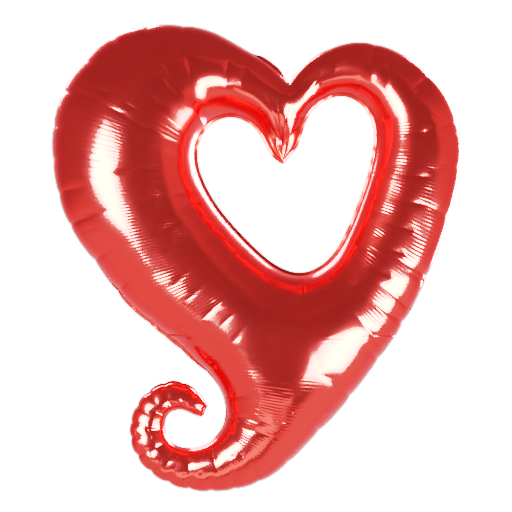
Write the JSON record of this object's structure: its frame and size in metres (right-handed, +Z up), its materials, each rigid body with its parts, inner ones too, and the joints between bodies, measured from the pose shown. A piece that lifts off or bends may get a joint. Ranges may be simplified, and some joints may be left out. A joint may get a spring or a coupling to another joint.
{
  "type": "heart-shaped foil balloon",
  "caption": "Inflated foil balloon: a ring shaped like a heart round an open heart, tapering to a hooked, curled tail, with a folding fill neck and inner film valve",
  "frame": {"origin": "the filling point: the middle of the neck's root, on the outer seam just left of the cleft", "axes": "+Z up with the cleft at the top and the curled tail at the foot, front face towards -Y, seams in the plane Y = 0, +X to the viewer's right"},
  "size_m": [0.7206, 0.2162, 0.823],
  "materials": {
    "front_foil": "mirror-like red metallised film",
    "back_foil": "mirror-like red metallised film",
    "valve_film": "clear soft film"
  },
  "bodies": {
    "body": {"front_panel": "front_foil", "back_panel": "back_foil", "valve_front_film": "valve_film", "valve_back_film": "valve_film"},
    "neck": {"neck_front_ply": "front_foil", "neck_back_ply": "back_foil"}
  },
  "joints": [
    {"name": "neck_fold", "type": "hinge", "parent": "body", "child": "neck", "pos_m": [0.00468, 0, 0.00648], "axis": [0.8106, 0, -0.5857], "range_deg": [0, 216]}
  ]
}
